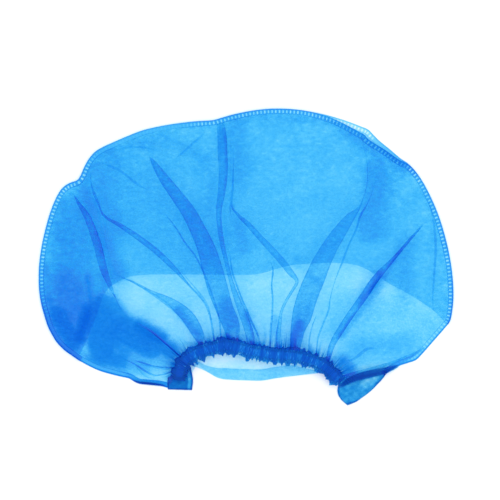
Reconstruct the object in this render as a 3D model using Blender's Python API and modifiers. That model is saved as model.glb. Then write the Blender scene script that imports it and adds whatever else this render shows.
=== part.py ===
"""A disposable elasticated cap of light nonwoven cloth, lying flat with its gathered mouth to the front.

Metres, +Z up, and +X to the right of someone who looks down with the mouth nearest. The origin is the
middle of the cap's outline, on the table. The cap is two D-shaped panels with a crown gusset folded in
between them, two welded seams, and a ruffled casing that draws the front edge of the upper panel up.
"""

import math

import bpy
import numpy as np

# Overall sizes of the cap as it lies
CAP_WIDTH = 0.333
CAP_DEPTH = 0.239

# Cloth and seams
WALL = 0.001
GAP = 0.0003
EDGE_GAP = 0.0006
SEAM_WIDTH = 0.004
SEAM_SPACE = 0.0004
SEAM_SLIP = 0.011

# Heights of the puffed cloth
CROWN_RISE = 0.010
MOUTH_RISE = 0.0090
GUSSET_RISE = 0.0060
GUSSET_SPREAD = 0.0030
FOLD_RISE = 0.0075
FOLD_SHARPNESS = 2.0
FOLD_AT_FOOT = 0.4
RUCK_SHARE = 0.35
RUCK_REACH = 0.3
LONG_COLUMN = 0.170
WIDE_GUSSET = 0.100

# Casing, elastic, hem and tabs
CASING_WIDTH = 0.0145
CASING_HEIGHT = 0.0090
RUFFLE_PITCH = 0.0052
RUFFLE_WAIST = 0.64
CASING_CORNER = 0.55
CASING_ARCH = 0.7
ELASTIC_WIDTH = 0.004
ELASTIC_THICKNESS = 0.001
HEM_WIDTH = 0.009
HEM_TIP = 0.25
HEM_TAPER = 0.25
TAB_THICKNESS = 0.002
LEFT_TAB_LENGTH = 0.010
RIGHT_TAB_LENGTH = 0.0165

# How finely lines and sheets are divided
RIM_STEPS = 96
SLIP_STEPS = 80
GUSSET_COLUMNS = 48
GUSSET_ROWS = 4
HEM_STEPS = 16
CURVE_STEPS = 24
LEVELS = (0.0, 0.05, 0.11, 0.19, 0.28, 0.38, 0.48, 0.58, 0.68, 0.78, 0.87, 0.94, 1.0)

# Outline from the left tab over the crown to the right tab: bearing in degrees, and reach, where 1 is
# half the width to the sides and half the depth to the front and back
OUTLINE = (
    (246, 0.95),
    (229, 1.03),
    (221, 1.06),
    (213, 1.08),
    (204, 1.06),
    (194, 1.03),
    (182, 1.00),
    (170, 0.985),
    (157, 0.985),
    (148, 0.985),
    (142, 0.99),
    (135, 1.01),
    (119, 0.98),
    (109, 0.95),
    (101, 0.94),
    (92, 0.97),
    (83, 1.00),
    (72, 1.02),
    (62, 1.03),
    (50, 1.01),
    (30, 0.985),
    (15, 0.965),
    (359, 0.98),
    (345, 1.03),
    (334, 1.08),
    (327, 1.07),
    (320, 1.08),
    (310, 1.03),
)
# Shares of the outline's length at which the gusset's two points lie
LEFT_POINT = 0.10
RIGHT_POINT = 0.91
# Share of the gusset's length that is left off at each of its points, where it is narrower than its fold
GUSSET_MARGIN = 0.031
# Share of the outline over which the upper panel's edge climbs to the gusset's points
EDGE_CLIMB = 0.05
# How far the upper seam draws back from the lower one: share of the outline, share of SEAM_SLIP
SLIP = ((0.0, 0.0), (0.58, 0.0), (0.62, 0.45), (0.68, 1.0), (0.72, 0.55), (0.78, 0.0), (1.0, 0.0))

# Plan lines as shares of the half width and the half depth
GUSSET_FOLD = (
    (-0.81, -0.69),
    (-0.75, -0.47),
    (-0.68, -0.22),
    (-0.56, -0.13),
    (-0.32, -0.12),
    (0.02, -0.10),
    (0.36, -0.12),
    (0.64, -0.14),
    (0.78, -0.22),
    (0.89, -0.35),
    (0.97, -0.47),
)
CASING_LINE = (
    (-0.32, -0.83),
    (-0.31, -0.74),
    (-0.27, -0.67),
    (-0.20, -0.63),
    (-0.08, -0.60),
    (0.05, -0.61),
    (0.16, -0.64),
    (0.26, -0.67),
    (0.35, -0.71),
    (0.41, -0.77),
    (0.46, -0.84),
)
FRONT_EDGE = (
    (-0.23, -0.73),
    (-0.17, -0.79),
    (-0.10, -0.82),
    (0.00, -0.83),
    (0.12, -0.82),
    (0.26, -0.79),
    (0.36, -0.78),
)
LEFT_TAB_BACK = ((-0.375, -0.815), (-0.255, -0.815))
RIGHT_TAB_BACK = ((0.455, -0.865), (0.63, -0.825))
# Front corners of each tab: share along its back edge, and share of its length
LEFT_TAB_FRONT = ((0.0, 1.0), (1.04, 1.0))
RIGHT_TAB_FRONT = ((0.04, 1.0), (0.68, 0.66))

# Main folds of the upper panel, left to right: share of the casing at its foot, two plan places on its
# way, share of the outline at its tip, lift of its ridge and of the cloth beside it as shares of
# FOLD_RISE, and the number of columns up to the next fold
FOLDS = (
    (0.00, (-0.37, -0.82), (-0.38, -0.83), 0.000, 0.0, 0.0, 3),
    (0.05, (-0.43, -0.79), (-0.50, -0.79), 0.050, 0.2, 0.0, 3),
    (0.10, (-0.50, -0.70), (-0.64, -0.67), 0.102, 0.5, 0.0, 4),
    (0.16, (-0.50, -0.48), (-0.70, -0.29), 0.182, 0.6, 0.1, 6),
    (0.22, (-0.43, -0.30), (-0.66, -0.08), 0.300, 1.0, 0.0, 5),
    (0.28, (-0.29, -0.18), (-0.46, 0.11), 0.356, 0.9, 0.1, 5),
    (0.33, (-0.22, -0.19), (-0.34, 0.34), 0.406, 0.9, 0.6, 6),
    (0.39, (-0.16, -0.19), (-0.21, 0.34), 0.475, 0.9, 0.2, 5),
    (0.45, (-0.08, -0.19), (-0.15, 0.36), 0.487, 0.5, 0.1, 7),
    (0.60, (0.22, -0.22), (-0.01, 0.26), 0.500, 0.9, 0.1, 4),
    (0.65, (0.255, -0.23), (0.20, 0.36), 0.556, 0.0, 0.0, 4),
    (0.69, (0.285, -0.23), (0.39, 0.34), 0.622, 0.1, 0.0, 4),
    (0.73, (0.325, -0.25), (0.50, 0.22), 0.666, 1.0, 0.7, 6),
    (0.78, (0.41, -0.27), (0.62, 0.19), 0.708, 0.8, 0.0, 5),
    (0.83, (0.48, -0.34), (0.70, 0.09), 0.750, 0.2, 0.0, 6),
    (0.89, (0.55, -0.38), (0.75, 0.01), 0.788, 1.0, 0.0, 5),
    (0.94, (0.64, -0.49), (0.83, -0.28), 0.863, 0.2, 0.0, 4),
    (0.97, (0.63, -0.61), (0.80, -0.54), 0.909, 0.3, 0.0, 3),
    (0.99, (0.58, -0.72), (0.69, -0.70), 0.955, 0.2, 0.0, 2),
    (1.00, (0.54, -0.80), (0.60, -0.79), 0.988, 0.0, 0.0, 0),
)

# Colours of the cloth by how many plies lie over each other: red, green, blue
THIN_BLUE = (0.23, 0.62, 0.90)
CLOTH_BLUE = (0.08, 0.40, 0.88)
DEEP_BLUE = (0.02, 0.16, 0.66)
ELASTIC_WHITE = (0.80, 0.86, 0.92)


def plan(point):
    """Returns the plan place at shares of the half width and the half depth."""
    return np.array((point[0] * CAP_WIDTH / 2, point[1] * CAP_DEPTH / 2))


def eased(share):
    """Returns a share from 0 to 1 with a level start and end."""
    share = np.clip(share, 0.0, 1.0)
    return share * share * (3 - 2 * share)


class Line:
    """A smooth plan line through a few knots, read by share of its length."""

    def __init__(self, knots):
        knots = np.array(knots)
        guides = np.vstack((2 * knots[0] - knots[1], knots, 2 * knots[-1] - knots[-2]))
        step = np.arange(CURVE_STEPS)[:, None] / CURVE_STEPS
        pieces = []
        for before, start, end, after in zip(guides, guides[1:], guides[2:], guides[3:]):
            bend = 2 * before - 5 * start + 4 * end - after
            twist = 3 * start - before - 3 * end + after
            pieces.append(start + ((end - before) * step + bend * step**2 + twist * step**3) / 2)
        self.points = np.vstack([*pieces, knots[-1:]])
        walked = np.linalg.norm(np.diff(self.points, axis=0), axis=1)
        self.walked = np.concatenate(([0.0], np.cumsum(walked)))
        self.length = self.walked[-1]
        along = np.gradient(self.points, self.walked, axis=0)
        along /= np.linalg.norm(along, axis=1)[:, None]
        self.right = np.column_stack((along[:, 1], -along[:, 0]))

    def at(self, share, aside=0.0):
        """Returns the place at a share of the length, moved aside to the line's right."""
        where = np.clip(share, 0.0, 1.0) * self.length
        place = np.array([np.interp(where, self.walked, axis) for axis in self.points.T])
        right = np.array([np.interp(where, self.walked, axis) for axis in self.right.T])
        return place + aside * right / np.linalg.norm(right)


def outline_knots():
    knots = []
    for bearing, reach in OUTLINE:
        angle = math.radians(bearing)
        knots.append(plan((reach * math.cos(angle), reach * math.sin(angle))))
    return knots


RIM = Line(outline_knots())
CASING = Line([plan(knot) for knot in CASING_LINE])
GUSSET = Line([plan(knot) for knot in GUSSET_FOLD])
FRONT = Line([plan(knot) for knot in FRONT_EDGE])

SEAM_THICKNESS = 2 * WALL + GAP
LOWER_WALL_LEVEL = WALL + GAP + WALL / 2
UPPER_SEAM_BASE = SEAM_THICKNESS + SEAM_SPACE
UPPER_WALL_LEVEL = UPPER_SEAM_BASE + WALL / 2
UPPER_PANEL_LEVEL = UPPER_WALL_LEVEL + WALL + GAP
CASING_BACK = CASING_WIDTH / 2 + GAP


def slip(share):
    """Returns how far the upper seam lies inside the lower one."""
    shares, slips = zip(*SLIP)
    return SEAM_SLIP * float(np.interp(share, shares, slips))


def casing_level(share):
    """Returns the height of the casing's middle: on the tabs at its ends, and clear of the mouth between."""
    lowest = TAB_THICKNESS + GAP + CASING_HEIGHT / 2
    highest = WALL + MOUTH_RISE + CASING_HEIGHT / 2
    return lowest + (highest - lowest) * math.sin(math.pi * share) ** CASING_ARCH


def panel_rim_level(share):
    """Returns the height of the upper panel's edge: over the gusset on the arc, on the lower panel beside it."""
    left = eased((share - LEFT_POINT + EDGE_CLIMB) / EDGE_CLIMB)
    right = eased((RIGHT_POINT + EDGE_CLIMB - share) / EDGE_CLIMB)
    return LOWER_WALL_LEVEL + (UPPER_PANEL_LEVEL - LOWER_WALL_LEVEL) * min(left, right)


def material(name, colour, roughness):
    made = bpy.data.materials.new(name)
    made.use_nodes = True
    shader = made.node_tree.nodes["Principled BSDF"]
    shader.inputs["Base Color"].default_value = (*colour, 1.0)
    shader.inputs["Roughness"].default_value = roughness
    shader.inputs["Metallic"].default_value = 0.0
    made.diffuse_color = (*colour, 1.0)
    return made


def place(name, data, colour, roughness=0.75):
    piece = bpy.data.objects.new(name, data)
    data.materials.append(material(name, colour, roughness))
    bpy.data.collections["elasticated_cap"].objects.link(piece)
    return piece


def flat_piece(name, outline, base, thickness, colour):
    """Makes a flat piece of the given plan outline that stands on the level base."""
    curve = bpy.data.curves.new(name, "CURVE")
    curve.dimensions = "2D"
    curve.fill_mode = "BOTH"
    curve.extrude = thickness / 2
    spline = curve.splines.new("POLY")
    spline.points.add(len(outline) - 1)
    for point, (x, y) in zip(spline.points, outline):
        point.co = (x, y, 0.0, 1.0)
    spline.use_cyclic_u = True
    piece = place(name, curve, colour)
    piece.location.z = base + thickness / 2
    return piece


def band(line, shares, aside_near, aside_far):
    """Returns the outline of a flat band along a line, between two distances to its right."""
    near = [line.at(share, aside_near(share)) for share in shares]
    far = [line.at(share, aside_far(share)) for share in shares]
    return near + far[::-1]


def cloth(name, columns, thickness, colour, closed=False):
    """Makes a sheet through columns of points, thickened to both sides. A closed one joins its rows' ends."""
    rows = len(columns[0])
    verts = [tuple(point) for column in columns for point in column]
    faces = []
    for i in range(len(columns) - 1):
        for k in range(rows if closed else rows - 1):
            after = (k + 1) % rows
            faces.append((i * rows + k, i * rows + after, (i + 1) * rows + after, (i + 1) * rows + k))
    mesh = bpy.data.meshes.new(name)
    mesh.from_pydata(verts, [], faces)
    mesh.shade_smooth()
    piece = place(name, mesh, colour)
    shell = piece.modifiers.new("Cloth thickness", "SOLIDIFY")
    shell.thickness = thickness
    shell.offset = 0.0
    shell.use_even_offset = True
    return piece


def make_lower_panel():
    inset = SEAM_WIDTH + GAP
    rim = [RIM.at(share, inset) for share in np.linspace(0, 1, RIM_STEPS)]
    front = [FRONT.at(share) for share in np.linspace(1, 0, HEM_STEPS)]
    right_tab = [plan(RIGHT_TAB_BACK[1]), plan(RIGHT_TAB_BACK[0])]
    left_tab = [plan(LEFT_TAB_BACK[1]), plan(LEFT_TAB_BACK[0])]
    flat_piece("lower_panel", rim + right_tab + front + left_tab, 0.0, WALL, THIN_BLUE)


def make_seams():
    around = np.linspace(0, 1, RIM_STEPS)
    outline = band(RIM, around, lambda share: 0.0, lambda share: SEAM_WIDTH)
    flat_piece("lower_seam", outline, 0.0, SEAM_THICKNESS, CLOTH_BLUE)
    crown = np.linspace(LEFT_POINT, RIGHT_POINT, SLIP_STEPS)
    outline = band(RIM, crown, slip, lambda share: slip(share) + SEAM_WIDTH)
    flat_piece("upper_seam", outline, UPPER_SEAM_BASE, SEAM_THICKNESS, CLOTH_BLUE)


def gusset_column(share):
    """Returns the points of the folded gusset from the upper seam in to its fold and out to the lower seam."""
    on_rim = LEFT_POINT + (RIGHT_POINT - LEFT_POINT) * share
    fold = GUSSET.at(share)
    upper = RIM.at(on_rim, slip(on_rim) + SEAM_WIDTH + EDGE_GAP)
    lower = RIM.at(on_rim, SEAM_WIDTH + EDGE_GAP)
    width = np.linalg.norm(fold - lower)
    puff = min(1.0, width / WIDE_GUSSET)
    column = []
    for depth in np.linspace(0, 1, GUSSET_ROWS + 1):
        level = UPPER_WALL_LEVEL + (GUSSET_RISE + GUSSET_SPREAD) * puff * eased(depth)
        column.append((*(upper + (fold - upper) * depth), level))
    middle = (UPPER_WALL_LEVEL + LOWER_WALL_LEVEL) / 2 + (GUSSET_RISE + GUSSET_SPREAD / 2) * puff
    nose = fold + (fold - lower) / width * (UPPER_WALL_LEVEL - LOWER_WALL_LEVEL + GUSSET_SPREAD * puff) / 2
    column.append((*nose, middle))
    for depth in np.linspace(1, 0, GUSSET_ROWS + 1):
        level = LOWER_WALL_LEVEL + GUSSET_RISE * puff * eased(depth)
        column.append((*(lower + (fold - lower) * depth), level))
    return column


def make_gusset():
    shares = np.linspace(GUSSET_MARGIN, 1 - GUSSET_MARGIN, GUSSET_COLUMNS)
    cloth("crown_gusset", [gusset_column(share) for share in shares], WALL, CLOTH_BLUE)


def fold_columns():
    """Returns the panel's columns as (foot, near place, far place, tip, lift), with those between the folds."""
    columns = []
    for this, after in zip(FOLDS, FOLDS[1:]):
        for step in range(this[6]):
            way = step / this[6]
            foot = this[0] + (after[0] - this[0]) * way
            near = plan(this[1]) * (1 - way) + plan(after[1]) * way
            far = plan(this[2]) * (1 - way) + plan(after[2]) * way
            tip = this[3] + (after[3] - this[3]) * way
            ridge = this[4] if way < 0.5 else after[4]
            lift = this[5] + (ridge - this[5]) * abs(2 * way - 1) ** FOLD_SHARPNESS
            columns.append((foot, near, far, tip, lift))
    last = FOLDS[-1]
    columns.append((last[0], plan(last[1]), plan(last[2]), last[3], last[4]))
    return columns


def panel_column(column, side, spacing):
    """Returns the points of one column of the upper panel. Near the casing it is rucked up or down by side."""
    foot, near, far, tip, lift = column
    start = CASING.at(foot, -CASING_BACK)
    end = RIM.at(tip, slip(tip) + SEAM_WIDTH + EDGE_GAP)
    line = Line([start, near, far, end])
    foot_level = casing_level(foot)
    rim_level = panel_rim_level(tip)
    length_share = min(1.0, line.length / LONG_COLUMN)
    crown = CROWN_RISE * length_share
    points = []
    for level in LEVELS:
        height = foot_level + (rim_level - foot_level) * level + 4 * crown * level * (1 - level)
        clear = eased(level / RUCK_REACH)
        fold = FOLD_RISE * lift * (FOLD_AT_FOOT + (1 - FOLD_AT_FOOT) * clear) * (1 - level**3)
        ruck = side * RUCK_SHARE * spacing * (1 - clear)
        points.append((*line.at(level), height + fold * length_share + ruck))
    return points


def make_upper_panel():
    columns = fold_columns()
    feet = np.array([column[0] for column in columns]) * CASING.length
    spacing = np.gradient(feet)
    made = [panel_column(column, (-1) ** i, spacing[i]) for i, column in enumerate(columns)]
    cloth("upper_panel", made, WALL, CLOTH_BLUE)


def make_casing():
    """Makes the ruffled channel along the mouth. Its rings are wide and waisted in turn."""
    ruffles = max(4, round(CASING.length / RUFFLE_PITCH))
    quarter = ((1, CASING_CORNER), (CASING_CORNER, 1))
    corners = [*quarter, *((-out, up) for out, up in quarter[::-1])]
    corners += [(-out, -up) for out, up in corners]
    half_width = (CASING_WIDTH - WALL) / 2
    half_height = (CASING_HEIGHT - WALL) / 2
    rings = []
    for i in range(2 * ruffles + 1):
        share = i / (2 * ruffles)
        size = RUFFLE_WAIST if i % 2 else 1.0
        ring = []
        for out, up in corners:
            x, y = CASING.at(share, out * half_width * size)
            ring.append((x, y, casing_level(share) + up * half_height * size))
        rings.append(ring)
    cloth("elastic_casing", rings, WALL, DEEP_BLUE, closed=True)


def make_elastic():
    """Makes the flat elastic band that lies on the floor of the casing's waists."""
    floor = ((CASING_HEIGHT - WALL) * RUFFLE_WAIST - WALL) / 2
    drop = floor - EDGE_GAP - ELASTIC_THICKNESS / 2
    columns = []
    for share in np.linspace(0, 1, RIM_STEPS // 2):
        level = casing_level(share) - drop
        near = CASING.at(share, -ELASTIC_WIDTH / 2)
        far = CASING.at(share, ELASTIC_WIDTH / 2)
        columns.append(((*near, level), (*far, level)))
    cloth("elastic_band", columns, ELASTIC_THICKNESS, ELASTIC_WHITE)


def hem_width(share):
    """Returns the hem's width at a share of the front edge from its narrow left tip."""
    return HEM_WIDTH * (HEM_TIP + (1 - HEM_TIP) * eased(share / HEM_TAPER))


def make_hem():
    """Makes the turned-in hem of the lower panel, narrow at its left end."""
    shares = np.linspace(0, 1, HEM_STEPS)
    outline = band(FRONT, shares, lambda share: 0.0, lambda share: -hem_width(share))
    flat_piece("front_hem", outline, WALL + GAP, WALL, THIN_BLUE)


def make_tab(name, back, front, length):
    """Makes a flat tab in front of a back edge, from which its corners are measured."""
    start, end = plan(back[0]), plan(back[1])
    along = end - start
    forward = np.array((along[1], -along[0])) / np.linalg.norm(along)
    corners = [start + forward * GAP, end + forward * GAP]
    for share, reach in reversed(front):
        corners.append(start + along * share + forward * (GAP + length * reach))
    flat_piece(name, corners, 0.0, TAB_THICKNESS, CLOTH_BLUE)


def clear_scene():
    for old in list(bpy.data.objects):
        bpy.data.objects.remove(old, do_unlink=True)


def centre_on_origin():
    """Moves every piece so that the middle of the whole outline is at the origin, on the table."""
    bpy.context.view_layer.update()
    graph = bpy.context.evaluated_depsgraph_get()
    corners = []
    pieces = bpy.data.collections["elasticated_cap"].objects
    for piece in pieces:
        seen = piece.evaluated_get(graph)
        corners += [seen.matrix_world @ vert.co for vert in seen.to_mesh().vertices]
        seen.to_mesh_clear()
    corners = np.array(corners)
    middle = (corners.min(axis=0) + corners.max(axis=0)) / 2
    for piece in pieces:
        piece.location.x -= middle[0]
        piece.location.y -= middle[1]
    bpy.context.view_layer.update()


def main():
    clear_scene()
    collection = bpy.data.collections.new("elasticated_cap")
    bpy.context.scene.collection.children.link(collection)
    make_lower_panel()
    make_seams()
    make_gusset()
    make_upper_panel()
    make_casing()
    make_elastic()
    make_hem()
    make_tab("left_tab", LEFT_TAB_BACK, LEFT_TAB_FRONT, LEFT_TAB_LENGTH)
    make_tab("right_tab", RIGHT_TAB_BACK, RIGHT_TAB_FRONT, RIGHT_TAB_LENGTH)
    centre_on_origin()


main()
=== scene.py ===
"""Dresses the flat-lying elasticated cap: see-through pleated panels, welded edges and a ruffled mouth."""

import math
from collections import namedtuple

import bpy
import numpy as np
from bpy.props import FloatProperty, FloatVectorProperty, IntProperty, PointerProperty
from bpy.types import Operator, Panel, PropertyGroup
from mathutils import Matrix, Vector
from mathutils.bvhtree import BVHTree


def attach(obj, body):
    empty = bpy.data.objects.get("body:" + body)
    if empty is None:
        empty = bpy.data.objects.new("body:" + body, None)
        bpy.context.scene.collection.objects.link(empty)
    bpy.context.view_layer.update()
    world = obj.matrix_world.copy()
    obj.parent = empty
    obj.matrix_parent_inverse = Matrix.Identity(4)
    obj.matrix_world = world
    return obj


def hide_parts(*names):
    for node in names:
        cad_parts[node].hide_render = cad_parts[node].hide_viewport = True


bl_info = {
    "name": "Flat elasticated cap",
    "version": (1, 0, 0),
    "blender": (4, 5, 0),
    "location": "3D View > Sidebar > Cap",
    "description": "Sews the cloth, seams, pleats and ruffles of a disposable cap over its packed solids",
    "category": "Object",
}

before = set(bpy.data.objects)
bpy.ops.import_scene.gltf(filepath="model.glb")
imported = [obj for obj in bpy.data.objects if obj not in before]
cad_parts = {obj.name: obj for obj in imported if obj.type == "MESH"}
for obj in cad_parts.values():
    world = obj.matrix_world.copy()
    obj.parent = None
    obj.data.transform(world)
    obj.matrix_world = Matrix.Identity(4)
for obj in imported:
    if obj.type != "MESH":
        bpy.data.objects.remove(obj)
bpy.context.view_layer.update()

# Heights and widths of the solids that the cloth follows, in metres
WALL = 0.001
GAP = 0.0003
SEAM_WIDTH = 0.004
PANEL_INSET = SEAM_WIDTH - 0.0002
SEAM_THICKNESS = 2 * WALL + GAP
UPPER_SEAM_BASE = SEAM_THICKNESS + 0.0004
LOWER_LEAF_LEVEL = WALL + GAP + WALL / 2
UPPER_LEAF_LEVEL = UPPER_SEAM_BASE + WALL / 2
PANEL_EDGE_LEVEL = UPPER_LEAF_LEVEL + WALL + GAP
TAB_THICKNESS = 0.002
CASING_HEIGHT = 0.009
CASING_HALF_WIDTH = 0.00745
CASING_BACK = 0.0050
MOUTH_RISE = 0.009
CROWN_RISE = 0.010
LONG_FOLD = 0.170
FOLD_RISE = 0.0075
GUSSET_RISE = 0.006
GUSSET_SPREAD = 0.003
WIDE_GUSSET = 0.100
# Sizes of the small forms that only the cloth has, in metres
HEM_WIDTH = 0.009
TAPE_HALF_WIDTH = 0.0028
TAPE_CORD_WIDTH = 0.0007
TAPE_CRIMP_PITCH = 0.0034
RUCK_RISE = 0.0007
RUCK_REACH = 0.016
BAR_HALF_WIDTH = 0.0005
BAR_DEPTH = 0.0003
# Where the gusset's points lie on the rim and over what length the edge climbs there, as shares of the rim
LEFT_POINT = 0.10
RIGHT_POINT = 0.91
EDGE_CLIMB = 0.05
# Power of the mouth's arch, sides of the casing's tube, and steps between two places of a plan line
CASING_ARCH = 0.7
CASING_SIDES = 26
CURVE_STEPS = 16
# The table, the lamp over it and where the camera stands, in metres
TABLE_SIZE = 6.0
LAMP_SIZE = 2.0
LAMP_PLACE = (0.10, -0.05, 1.9)
CAMERA_PLACE = (0.0032, 0.0052)

# Plan lines in millimetres. The rim runs from the left end of the casing round the arc to its right end
RIM_LINE = (
    (-62.4, -105.1), (-68.8, -103.5), (-76.8, -102.7), (-84.9, -101.9), (-89.7, -99.9), (-93.7, -97.5),
    (-100.9, -95.9), (-108.9, -93.9), (-116.9, -91.5), (-124.9, -87.9), (-132.9, -83.5), (-139.3, -79.1),
    (-144.9, -75.1), (-150.5, -69.5), (-154.5, -63.5), (-158.5, -55.6), (-161.3, -46.8), (-163.7, -38),
    (-165.3, -27.6), (-165.7, -17.2), (-165.3, -6), (-163.3, 8.4), (-160.5, 21.2), (-156.9, 34),
    (-152.9, 44.4), (-148.9, 52), (-144.9, 56.4), (-140.1, 59.1), (-134.9, 61.1), (-132.1, 65.1),
    (-129.3, 71.5), (-125.7, 77.9), (-120.9, 83.5), (-114.5, 87.5), (-105.7, 91.5), (-94.5, 96.3),
    (-82.5, 100.9), (-68.8, 104.1), (-54.4, 106.5), (-40, 108.1), (-27.2, 108.9), (-19.2, 111),
    (-9.6, 113.7), (3.2, 116.3), (16, 117.9), (28.8, 118.2), (41.6, 117.3), (55.2, 115.2), (68.8, 112),
    (81.7, 107.9), (92.1, 103.9), (97.7, 101.5), (101.7, 97.5), (106.5, 92.7), (115.3, 85.5), (123.3, 78.7),
    (129.7, 74.3), (135.3, 68.3), (140.9, 60.3), (146.5, 50), (152.1, 37.6), (156.5, 25.2), (160.1, 12.4),
    (162.9, -0.4), (164.7, -12.4), (165.7, -24.4), (165.7, -34.8), (164.7, -44.4), (162.9, -52),
    (158.5, -57.9), (152.9, -64.3), (147.3, -70.7), (141.7, -77.1), (136.1, -82.7), (129.7, -85.1),
    (122.5, -87.5), (116.1, -91.1), (110.5, -95.5),
)
# The middle of the casing, from left to right
CASING_LINE = (
    (-53.6, -98.7), (-52.4, -89.9), (-48, -82.7), (-41.6, -78.3), (-32.8, -74.7), (-24, -72.2),
    (-15.2, -70.9), (-4.8, -73.1), (7.2, -75.9), (19.2, -77.9), (31.2, -78.7), (43.2, -80.3), (52.8, -83.1),
    (60.8, -86.7), (68, -92.3), (75.2, -100.3),
)
# The gusset's fold, from left to right
GUSSET_LINE = (
    (-134.5, -81.9), (-130.5, -72.3), (-125.7, -61.1), (-120.9, -49.2), (-116.9, -37.2), (-112.9, -27.6),
    (-107.3, -22.4), (-99.3, -17.6), (-89.7, -14.4), (-68.8, -13.2), (-36.8, -13.2), (0, -13.4),
    (14, -11.6), (24, -8.6), (36, -5.6), (48, -4.6), (72, -3.8), (90, -6.2), (104, -13.5), (112.9, -19.6),
    (120.1, -23.6), (128.1, -28), (136.1, -32.8), (144.9, -38.8), (152.1, -44.4), (160.9, -54),
)
# The lower panel's front edge in the mouth, from left to right
FRONT_LINE = (
    (-39.2, -85.9), (-35.2, -88.7), (-30.4, -92.3), (-24.8, -95.9), (-19.2, -97.9), (-11.2, -98.6),
    (0, -99.1), (12.8, -99.2), (23.2, -97.5), (35.2, -95.9), (46.4, -94.6), (59.2, -93.1),
)
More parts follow.
